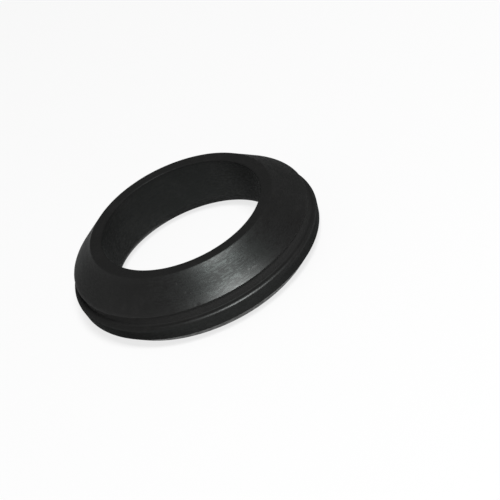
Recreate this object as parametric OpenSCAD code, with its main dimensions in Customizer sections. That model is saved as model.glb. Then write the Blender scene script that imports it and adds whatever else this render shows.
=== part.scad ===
// Push-in rubber grommet: one moulded ring, open right through for a pipe, hose or bundle of cable.
// The conical nose is pressed through a round hole in a sheet, its base edge snaps open behind the
// sheet, and the sheet then sits in the groove between the nose and the thick flange.
// The ring lies on the foot of its flange, with the nose up. The origin is the centre of the foot.

/* [Panel] */
// Diameter of the hole that the grommet is pushed into
panel_hole_d = 64; // [54:0.5:90]
// How far the root of the groove stands out past the edge of the hole, to press on it and seal
root_grip = 1; // [0:0.1:1.5]
// Width of the groove, for the thickness of the sheet
groove_w = 2.7; // [1:0.1:5]

/* [Bore] */
// Diameter of the bore
bore_d = 45; // [30:0.5:52]
// Radius of the rolled mouth where the bore meets the foot
mouth_r = 5.5; // [0.5:0.1:6.5]

/* [Flange] */
// How far the flange reaches out past the root of the groove
flange_reach = 2; // [1.4:0.1:9]
// Thickness of the flange, from the foot to the ledge that the sheet lies on
flange_t = 7.4; // [5.6:0.1:12]
// Height of the bevel under the flange
bevel_h = 3.4; // [0.8:0.1:4]
// How far the bevel runs in under the flange
bevel_w = 3.2; // [0.5:0.1:3.6]
// Least width of the flat that the ring stands on, between its mouth and the bevel
foot_land = 2; // [1:0.1:3]
// How far the wall of the flange draws in, from the ledge down to the bevel
wall_draw = 0.6; // [0:0.1:1.2]

/* [Nose] */
// How far the base edge of the nose stands out past the root of the groove
snap_reach = 0.6; // [0.3:0.1:4]
// Height of the nose above the groove
nose_h = 6.9; // [3:0.1:14]
// Width of the flat rim round the bore, at the top of the nose
rim_w = 3.3; // [1.5:0.1:4.5]

/* [Edges] */
// Radius on the outer edge of the ledge
ledge_edge_r = 1.2; // [0.1:0.05:1.5]
// Radius on the base edge of the nose
snap_edge_r = 0.15; // [0.05:0.05:0.6]
// Radius on both edges of the rim
rim_edge_r = 0.5; // [0.1:0.05:0.7]
// Radius in the two inner corners of the groove
root_r = 0.2; // [0.1:0.05:1]
// Radius where the bevel turns into the foot
foot_edge_r = 1.2; // [0.2:0.1:1.5]

/* [Hidden] */
$fn = 96;
// Largest angle between two points along a rounding
arc_step = 10;

bore_r = bore_d / 2;
root_of_groove_r = panel_hole_d / 2 + root_grip;
flange_r = root_of_groove_r + flange_reach;
snap_r = root_of_groove_r + snap_reach;
rim_r = bore_r + rim_w;
bevel_top_r = flange_r - wall_draw;
foot_r = bevel_top_r - bevel_w;
// The mouth is only as round as the foot leaves room for
mouth_room_r = min(mouth_r, foot_r - bore_r - foot_land);
groove_top_z = flange_t + groove_w;
height = groove_top_z + nose_h;

// Corners of the moulded section, as [radius, height, radius of the rounding], from the foot's
// inner edge outwards and then up the outside to the rim.
SECTION = [
    [bore_r, 0, mouth_room_r],
    [foot_r, 0, foot_edge_r],
    [bevel_top_r, bevel_h, 0],
    [flange_r, flange_t, ledge_edge_r],
    [root_of_groove_r, flange_t, root_r],
    [root_of_groove_r, groove_top_z, root_r],
    [snap_r, groove_top_z, snap_edge_r],
    [rim_r, height, rim_edge_r],
    [bore_r, height, rim_edge_r],
];

// The corner that many places after corner i, round the closed section
function corner(i, step = 0) = let (n = len(SECTION)) SECTION[(i + step + n) % n];
function place(c) = [c[0], c[1]];
function toward(a, b) = (b - a) / norm(b - a);
function back_from(i) = toward(place(corner(i)), place(corner(i, -1)));
function ahead_from(i) = toward(place(corner(i)), place(corner(i, 1)));
function half_angle(i) = acos(back_from(i) * ahead_from(i)) / 2;

// How much of the side after corner i the roundings at its two ends may use, as a share of what
// they ask for. Where a side is short, both are drawn smaller, and a little of it stays straight.
straight_share = 0.05;
function asked(i) = corner(i)[2] / tan(half_angle(i));
function allowed(i) =
    let (side = norm(place(corner(i, 1)) - place(corner(i))))
    min(1, (1 - straight_share) * side / (asked(i) + asked(i + 1)));

// The points of one corner: the corner itself where it is sharp, or else an arc that touches the
// sides before and after it. The arc turns left at an outward corner and right at an inward one.
function rounding(i) =
    let (
        here = place(corner(i)),
        r = corner(i)[2] * min(allowed(i), allowed(i - 1)),
        back = back_from(i),
        ahead = ahead_from(i),
        half = half_angle(i),
        middle = here + toward([0, 0], back + ahead) * r / sin(half),
        first = here + back * r / tan(half) - middle,
        side = sign(cross(ahead, back)),
        sweep = side * (180 - 2 * half),
        steps = ceil(abs(sweep) / arc_step),
        start = atan2(first[1], first[0])
    )
    r == 0 ? [here] : [for (k = [0 : steps]) middle + r * unit(start + sweep * k / steps)];
function unit(a) = [cos(a), sin(a)];

module rounded_section() {
    polygon([for (i = [0 : len(SECTION) - 1]) each rounding(i)]);
}

module grommet() {
    color("#1d1f1f") rotate_extrude() rounded_section();
}

grommet();
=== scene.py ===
import math
import random

import bmesh
import bpy
from mathutils import Matrix, Vector, noise


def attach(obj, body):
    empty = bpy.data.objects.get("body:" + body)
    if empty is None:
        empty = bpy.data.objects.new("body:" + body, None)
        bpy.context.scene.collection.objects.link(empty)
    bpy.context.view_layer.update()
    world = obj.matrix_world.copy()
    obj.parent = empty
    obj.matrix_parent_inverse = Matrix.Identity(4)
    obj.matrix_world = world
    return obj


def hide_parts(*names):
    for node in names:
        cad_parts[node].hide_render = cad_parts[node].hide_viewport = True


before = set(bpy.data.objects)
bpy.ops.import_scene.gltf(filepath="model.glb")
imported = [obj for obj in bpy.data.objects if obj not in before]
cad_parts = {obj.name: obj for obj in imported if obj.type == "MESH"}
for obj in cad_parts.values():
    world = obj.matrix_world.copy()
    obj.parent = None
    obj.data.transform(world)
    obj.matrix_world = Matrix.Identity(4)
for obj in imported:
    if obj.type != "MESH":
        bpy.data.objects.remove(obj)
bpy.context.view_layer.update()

# The grommet is one ring of black rubber, pressed in a turned steel mould: a conical nose with a
# narrow flat rim, a groove for the edge of the panel, and a thick flange with a bevelled underside.
# Its section is spun into a ring here, and each circular edge then gets the rounding of the mould.
MM = 0.001
bore_r = 22.5 * MM
rim_r = 25.8 * MM
snap_r = 33.6 * MM
groove_root_r = 33.0 * MM
flange_r = 35.0 * MM
bevel_top_r = 34.4 * MM
foot_r = 31.2 * MM
bevel_z = 3.4 * MM
ledge_z = 7.4 * MM
snap_z = 10.1 * MM
rim_z = 17.0 * MM
steps_round = 480
full_turn = 2 * math.pi

# Corners of the section as (radius, height, rounding, steps in the rounding), from the mouth outwards
corners = [
    (bore_r, 0.0, 5.5 * MM, 16),
    (foot_r, 0.0, 1.2 * MM, 6),
    (bevel_top_r, bevel_z, 0.2 * MM, 3),
    (flange_r, ledge_z, 1.2 * MM, 8),
    (groove_root_r, ledge_z, 0.2 * MM, 4),
    (groove_root_r, snap_z, 0.2 * MM, 4),
    (snap_r, snap_z, 0.15 * MM, 6),
    (rim_r, rim_z, 0.5 * MM, 5),
    (bore_r, rim_z, 0.5 * MM, 5),
]

# Points closer than the first are merged, and an edge counts as on a circle within the second
same_point = 0.0001 * MM
on_the_line = 0.001 * MM

ring = bmesh.new()
section = [ring.verts.new((r, 0.0, z)) for r, z, _, _ in corners]
outline = [ring.edges.new((section[i - 1], section[i])) for i in range(len(section))]
bmesh.ops.spin(
    ring, geom=section + outline, cent=(0, 0, 0), axis=(0, 0, 1), dvec=(0, 0, 0),
    angle=full_turn, steps=steps_round, use_merge=True, use_duplicate=False,
)
bmesh.ops.remove_doubles(ring, verts=ring.verts[:], dist=same_point)
bmesh.ops.recalc_face_normals(ring, faces=ring.faces[:])


def radius_at(point):
    return math.hypot(point.x, point.y)


def edges_on_circle(circle_r, circle_z):
    """The edges of the ring that lie along one circle of its section."""
    def on_circle(v):
        return abs(radius_at(v.co) - circle_r) < on_the_line and abs(v.co.z - circle_z) < on_the_line
    return [e for e in ring.edges if on_circle(e.verts[0]) and on_circle(e.verts[1])]


for i, (corner_r, corner_z, rounding, segments) in enumerate(corners):
    here = Vector((corner_r, corner_z))
    back = (Vector(corners[i - 1][:2]) - here).normalized()
    ahead = (Vector(corners[(i + 1) % len(corners)][:2]) - here).normalized()
    bmesh.ops.bevel(
        ring, geom=edges_on_circle(corner_r, corner_z), offset_type="OFFSET", affect="EDGES",
        offset=rounding / math.tan(back.angle(ahead) / 2), segments=segments, profile=0.5, material=-1,
    )


def run_along_section(edge):
    """How far an edge runs along the section. It is nothing for an edge that runs round the ring."""
    a, b = edge.verts[0].co, edge.verts[1].co
    return math.hypot(radius_at(a) - radius_at(b), a.z - b.z)


# The long faces of the cone, the bore and the flange are cut into bands about this wide
band = 0.8 * MM
runs = {}
for edge in ring.edges:
    cuts = int(run_along_section(edge) / band)
    if cuts > 0:
        runs.setdefault(cuts, []).append(edge)
for cuts, long_edges in runs.items():
    bmesh.ops.subdivide_edges(ring, edges=long_edges, cuts=cuts, use_grid_fill=False)

# Rubber comes off the mould a little uneven, and its sharp edges pick up small nicks when it is
# pulled and handled. Every mark goes inwards, so the ring keeps its size. Waves are counted to a metre.
sway = 0.04 * MM
sways_across = 70
sways_up = 160
ripple = 0.015 * MM
ripples = 420
ripple_start = 9
handling = random.Random(58)
nicked_edges = [(snap_r, snap_z, 12), (flange_r, ledge_z, 9), (rim_r, rim_z, 2), (bore_r, rim_z, 2)]
nicks = []
for edge_r, edge_z, count in nicked_edges:
    for _ in range(count):
        turn = handling.uniform(0, full_turn)
        spot = Vector((edge_r * math.cos(turn), edge_r * math.sin(turn), edge_z))
        reach = handling.uniform(0.5, 1.1) * MM
        bite = handling.uniform(0.04, 0.11) * MM
        nicks.append((spot, reach, bite))

ring.normal_update()
moves = []
for vert in ring.verts:
    p = vert.co
    slow = 0.5 + 0.5 * noise.noise(Vector((p.x * sways_across, p.y * sways_across, p.z * sways_up)))
    quick = 0.5 + 0.5 * noise.noise(Vector((p.x * ripples + ripple_start, p.y * ripples, p.z * ripples)))
    depth = sway * slow + ripple * quick
    for spot, reach, bite in nicks:
        away = (p - spot).length
        if away < reach:
            depth += bite * (1 - (away / reach) ** 2) ** 2
    moves.append(vert.normal * -depth)
for vert, move in zip(ring.verts, moves):
    vert.co += move

bmesh.ops.recalc_face_normals(ring, faces=ring.faces[:])
mesh = bpy.data.meshes.new("grommet_rubber")
ring.to_mesh(mesh)
ring.free()
for polygon in mesh.polygons:
    polygon.use_smooth = True
grommet = bpy.data.objects.new("grommet_rubber", mesh)
bpy.context.scene.collection.objects.link(grommet)
even_shading = grommet.modifiers.new("even_shading", "WEIGHTED_NORMAL")
even_shading.keep_sharp = True


class Finish:
    """A value that changes over a surface. Arithmetic on it adds Math nodes to the material."""

    def __init__(self, tree, socket=None):
        self.tree = tree
        self.socket = socket

    def node(self, kind, settings=None, sockets=None, output=0):
        """Adds a node of any kind: its settings first, then the value or link of each socket."""
        added = self.tree.nodes.new(kind)
        for name, value in (settings or {}).items():
            setattr(added, name, value)
        for name, value in (sockets or {}).items():
            if isinstance(value, Finish):
                value.feeds(added, name)
            else:
                added.inputs[name].default_value = value
        return Finish(self.tree, added.outputs[output])

    def feeds(self, added, name):
        """Links this value to a socket of a node."""
        self.tree.links.new(self.socket, added.inputs[name])

    def other(self, output):
        """Another output of the node that this value comes from."""
        return Finish(self.tree, self.socket.node.outputs[output])

    def math(self, operation, first, second):
        return self.node("ShaderNodeMath", {"operation": operation}, {0: first, 1: second})

    def __add__(self, other):
        return self.math("ADD", self, other)

    def __radd__(self, other):
        return self.math("ADD", other, self)

    def __sub__(self, other):
        return self.math("SUBTRACT", self, other)

    def __rsub__(self, other):
        return self.math("SUBTRACT", other, self)

    def __mul__(self, other):
        return self.math("MULTIPLY", self, other)

    def __rmul__(self, other):
        return self.math("MULTIPLY", other, self)

    def __truediv__(self, other):
        return self.math("DIVIDE", self, other)

    def __rtruediv__(self, other):
        return self.math("DIVIDE", other, self)

    def __pow__(self, other):
        return self.math("POWER", self, other)

    def step(self, low, high):
        """Rises smoothly from 0 to 1 as the value goes from low to high, or falls if low is the larger."""
        if low > high:
            return 1 - self.step(high, low)
        ends = {"Value": self, "From Min": low, "From Max": high}
        return self.node("ShaderNodeMapRange", {"interpolation_type": "SMOOTHSTEP"}, ends)

    def tint(self, bare, covered):
        """A colour between two, by this value. The colour sockets of this node are 6, 7 and output 2."""
        return self.node("ShaderNodeMix", {"data_type": "RGBA"}, {0: self, 6: bare, 7: covered}, output=2)


# The rubber is black and matt from its bloom, and where it was handled it has a low polish. All its
# marks follow the ring's own place: east and north across it, its height, and the radius.
rubber = bpy.data.materials.new("moulded_black_rubber")
rubber.use_nodes = True
shader = rubber.node_tree.nodes["Principled BSDF"]
skin = Finish(rubber.node_tree)
place = skin.node("ShaderNodeTexCoord", output="Object")
east = place.node("ShaderNodeSeparateXYZ", sockets={0: place})
north = east.other("Y")
height = east.other("Z")
radius = (east * east + north * north) ** 0.5


def noise_at(where, waves, detail=3.0, roughness=0.55):
    """A cloudy pattern from 0 to 1, with so many waves to a metre and finer ones over them."""
    sockets = {"Vector": where, "Scale": waves, "Detail": detail, "Roughness": roughness}
    return where.node("ShaderNodeTexNoise", sockets=sockets)


# The turned mould leaves marks that run round the ring, long and thin. A pattern runs so where it is
# read on a far smaller circle. Along the section it follows height and radius in shares that don't
# cancel on any face.
along_section = height * 1.4 - radius * 0.64


def drawn_round(circle_r):
    """Places for a pattern that is drawn out round the ring, more so on a smaller circle."""
    sockets = {0: east / radius * circle_r, 1: north / radius * circle_r, 2: along_section}
    return place.node("ShaderNodeCombineXYZ", sockets=sockets)


cloud = noise_at(place, waves=130, detail=4.0)
mottle = noise_at(place, waves=620, detail=4.0, roughness=0.6)
grain = noise_at(place, waves=1900, roughness=0.6)
streak = noise_at(drawn_round(5 * MM), waves=1500)
drawn_grain = noise_at(drawn_round(12 * MM), waves=1900, roughness=0.6)
speckle = drawn_grain.step(0.38, 0.62)
specks = drawn_grain.step(0.62, 0.70)
bloom = cloud.step(0.42, 0.68) * mottle.step(0.35, 0.7)

# The faces of the ring, each 1 on the face and 0 off it. The cone is worn a little brighter by its
# base edge and its rim, and is duller half way up.
outside_rim = radius.step(rim_r - 0.3 * MM, rim_r + 0.3 * MM)
on_cone = outside_rim * height.step(snap_z - 0.3 * MM, snap_z + 0.1 * MM)
near_base = on_cone * radius.step(snap_r - 3.4 * MM, snap_r - 0.6 * MM)
near_rim = on_cone * radius.step(rim_r + 1.8 * MM, rim_r + 0.2 * MM)
above_half_way = radius.step(snap_r - 2.4 * MM, snap_r - 4.0 * MM)
half_way = on_cone * radius.step(rim_r + 1.8 * MM, rim_r + 3.4 * MM) * above_half_way
past_root = radius.step(groove_root_r - 1.0 * MM, groove_root_r - 0.6 * MM)
inside_ledge = radius.step(groove_root_r + 0.9 * MM, groove_root_r + 0.2 * MM)
above_ledge = height.step(ledge_z - 0.2 * MM, ledge_z + 0.3 * MM)
under_nose = height.step(snap_z + 0.2 * MM, snap_z - 0.1 * MM)
in_groove = past_root * inside_ledge * above_ledge * under_nose
bore_wall = radius.step(bore_r + 0.4 * MM, bore_r + 0.1 * MM)
under_ledge = height.step(ledge_z - 0.6 * MM, ledge_z - 1.2 * MM)
flange_wall = radius.step(bevel_top_r - 0.4 * MM, bevel_top_r) * under_ledge
past_foot = radius.step(foot_r - 1.7 * MM, foot_r - 0.7 * MM)
under_bevel = height.step(bevel_z + 0.4 * MM, bevel_z - 0.6 * MM) * past_foot
in_mouth = height.step(4.0 * MM, 2.0 * MM) * radius.step(bore_r + 4.5 * MM, bore_r + 3.0 * MM)
left_of_mouth = in_mouth * east.step(-2 * MM, -10 * MM)


def near_circle(circle_r, circle_z, reach):
    """1 near a circular edge of the ring, falling to 0 at the reach from it."""
    away = ((radius - circle_r) ** 2.0 + (height - circle_z) ** 2.0) ** 0.5
    return away.step(reach, 0.25 * reach)


bore_edge = near_circle(bore_r, rim_z, 0.9 * MM)
snap_edge = near_circle(snap_r - 0.3 * MM, snap_z + 0.1 * MM, 0.9 * MM)
ledge_edge = near_circle(flange_r - 0.5 * MM, ledge_z - 0.3 * MM, 0.85 * MM)


def scuff(x, y, z, turn, length, width):
    """A rubbed mark on the ring: 1 in its middle, broken up by the grain towards its ends."""
    sockets = {
        "Vector": place,
        "Location": (x * MM, y * MM, z * MM),
        "Rotation": (0, 0, turn),
        "Scale": (length * MM, width * MM, width * MM),
    }
    spread = place.node("ShaderNodeMapping", {"vector_type": "TEXTURE"}, sockets)
    away = spread.node("ShaderNodeVectorMath", {"operation": "LENGTH"}, {0: spread}, output="Value")
    return (away + (grain - 0.5) * 1.6).step(1.0, 0.3)


# Five rubbed marks on the cone, as (x, y, z, turn, length, width), in millimetres and radians
scuffs = [
    (-6.5, -29.5, 13.1, 1.2, 1.3, 0.35),
    (-5.3, -30.2, 12.7, 1.5, 0.7, 0.25),
    (-7.7, -27.1, 15.0, 1.1, 0.6, 0.3),
    (12.2, -29.5, 11.6, 0.4, 1.1, 0.35),
    (10.5, -29.8, 11.9, 0.9, 0.5, 0.3),
]
rubbed = sum(scuff(*mark) for mark in scuffs)

# Colour: the black is paler on faces that look up and painted darker on the sides and underneath, as
# painted shade. Grey bloom goes over it, and the paler grey down in the groove is painted light that lifts
# the groove's shade.
shaded_side_black = (0.0038, 0.0037, 0.0036, 1)
facing_up_black = (0.0077, 0.0073, 0.0073, 1)
bloom_grey = (0.0146, 0.0138, 0.0138, 1)
groove_painted_light_grey = (0.0270, 0.0262, 0.0260, 1)
# Painted shade: faces that look sideways or down get the darker black, faces that look up the paler one
normal = skin.node("ShaderNodeNewGeometry", output="Normal")
faces_up = normal.node("ShaderNodeSeparateXYZ", sockets={0: normal}, output="Z")
facing_up_share = faces_up.step(-0.1, 0.6)
worn = bloom * 0.5 + grain * 0.4 + rubbed * 1.5
clean = worn.tint(facing_up_share.tint(shaded_side_black, facing_up_black), bloom_grey)
# Painted light: the groove gets a paler grey, which lifts the shade that falls in it
(in_groove * 0.8).tint(clean, groove_painted_light_grey).feeds(shader, "Base Color")

# Roughness: each texture and each dull place adds its share, and so does a look along the surface
bare_roughness = 0.215
grazing = skin.node("ShaderNodeLayerWeight", sockets={0: 0.5}, output="Facing").step(0.10, 0.70)
texture = mottle * 0.06 + speckle * 0.18 + streak * 0.18 - specks * 0.10
dull_places = half_way * 0.05 - snap_edge * 0.05 + in_groove * 0.30 + bore_edge * 0.4
dull_flange = flange_wall * (0.03 + grazing * 0.34)
dull_along = grazing * (1 - under_bevel - left_of_mouth) * 0.42
(bare_roughness + texture + dull_places + dull_flange + dull_along).feeds(shader, "Roughness")

# Relief: the same textures, this deep where they are strongest
deepest = 0.08 * MM
relief = grain * 0.4 + drawn_grain * 0.4 + mottle * 0.3 + streak * 0.6
bumps = relief.node("ShaderNodeBump", sockets={"Strength": 1.0, "Distance": deepest, "Height": relief})
bumps.feeds(shader, "Normal")

# Polish: a coat that is strongest on the edges. It goes where one looks along the surface, but for
# the left end of the cone, and at that end the base edge, the flange and the bore have none.
base_polish = near_base * 0.18 * east.step(-30 * MM, -15 * MM)
cone_polish = on_cone * 0.12 + base_polish + near_rim * 0.10 + snap_edge * 0.13
wall_polish = ledge_edge * 0.40 + flange_wall * 0.12 + bore_wall * 0.07
cone_shine = cone_polish * (1 - grazing * east.step(-25 * MM, -5 * MM))
wall_shine = wall_polish * (1 - grazing) * east.step(-24 * MM, -5 * MM)
(cone_shine + wall_shine + rubbed * 0.2).feeds(shader, "Coat Weight")
shader.inputs["Coat Roughness"].default_value = 0.36
shader.inputs["Specular IOR Level"].default_value = 0.13
shader.inputs["Specular Tint"].default_value = (0.84, 1.0, 0.95, 1)
mesh.materials.append(rubber)

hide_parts("grommet")
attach(grommet, "root")

# The ring lies on a plain white table top, which fills the view wherever the lens looks down on it.
# Most of what the lens and the gloss see of it is its own even white, and the rest keeps the ring's
# shadow.
table_top_r = 4.0
own_white = 0.78
paint_white = (0.72, 0.72, 0.72, 1)
floor_mesh = bpy.data.meshes.new("floor")
table_top = bmesh.new()
bmesh.ops.create_circle(table_top, cap_ends=True, segments=96, radius=table_top_r)
table_top.to_mesh(floor_mesh)
table_top.free()
floor = bpy.data.objects.new("floor", floor_mesh)
bpy.context.scene.collection.objects.link(floor)
paint = bpy.data.materials.new("white_table_top")
paint.use_nodes = True
matt = paint.node_tree.nodes["Principled BSDF"]
matt.inputs["Base Color"].default_value = paint_white
matt.inputs["Roughness"].default_value = 0.9
lit_paint = Finish(paint.node_tree, matt.outputs[0])
lens_ray = lit_paint.node("ShaderNodeLightPath", output="Is Camera Ray")
seen = lens_ray + lens_ray.other("Is Glossy Ray") + lens_ray.other("Is Transmission Ray")
white = lit_paint.node("ShaderNodeEmission", sockets={"Color": (1, 1, 1, 1), "Strength": 1.0})
blend = lit_paint.node("ShaderNodeMixShader", sockets={0: seen * own_white, 1: lit_paint, 2: white})
blend.feeds(paint.node_tree.nodes["Material Output"], "Surface")
floor_mesh.materials.append(paint)

# One round soft box hangs over the table. From the ring it stands a little to the right of the lens
# and high up, and it gives the sheen on the front of the cone.
to_the_right = math.radians(23.3)
up = math.radians(62)
lamp_distance = 1.2
light = bpy.data.lights.new("key_soft_box", "AREA")
light.shape = "DISK"
light.size = 0.46
light.energy = 17.9
soft_box = bpy.data.objects.new("key_soft_box", light)
level = math.cos(up)
toward_box = Vector((math.sin(to_the_right) * level, -math.cos(to_the_right) * level, math.sin(up)))
soft_box.location = toward_box * lamp_distance
soft_box.rotation_euler = toward_box.to_track_quat("Z", "Y").to_euler()
bpy.context.scene.collection.objects.link(soft_box)

# The room is dim, and darkest on the right. On the left stands one pale wall, which lights the left
# end of the ring, and the ceiling is paler still.
dim = (0.12, 0.12, 0.12, 1)
dark = (0.05, 0.05, 0.05, 1)
pale = (0.38, 0.38, 0.38, 1)
ceiling_grey = (0.55, 0.55, 0.55, 1)
world = bpy.data.worlds.new("studio")
bpy.context.scene.world = world
world.use_nodes = True
room = Finish(world.node_tree)
way = room.node("ShaderNodeTexCoord", output="Generated")
sideways = way.node("ShaderNodeSeparateXYZ", sockets={0: way})
upward = sideways.other("Z")
pale_wall = sideways.step(-0.30, -0.80) * upward.step(0.95, 0.60)
walls = pale_wall.tint(sideways.step(0.10, 0.60).tint(dim, dark), pale)
ceiling = upward.step(0.93, 0.985)
ceiling.tint(walls, ceiling_grey).feeds(world.node_tree.nodes["Background"], "Color")

# The camera stands half a metre from the ring and looks down on it at the photograph's angle. It is
# rolled, as the ring in the photograph leans.
elevation = math.radians(33.903)
roll = math.radians(-24.663)
distance = 0.45765
aim = Vector((0.01279, -0.00457, 0.0))
lens = bpy.data.cameras.new("camera")
lens.lens = 122.98
lens.sensor_width = 36
camera = bpy.data.objects.new("camera", lens)
bpy.context.scene.collection.objects.link(camera)
toward_lens = Vector((0, -math.cos(elevation), math.sin(elevation)))
upright = toward_lens.to_track_quat("Z", "Y")
camera.location = aim + toward_lens * distance
camera.rotation_mode = "QUATERNION"
camera.rotation_quaternion = upright @ Matrix.Rotation(roll, 3, "Z").to_quaternion()
bpy.context.scene.camera = camera
bpy.context.scene.view_settings.view_transform = "Standard"
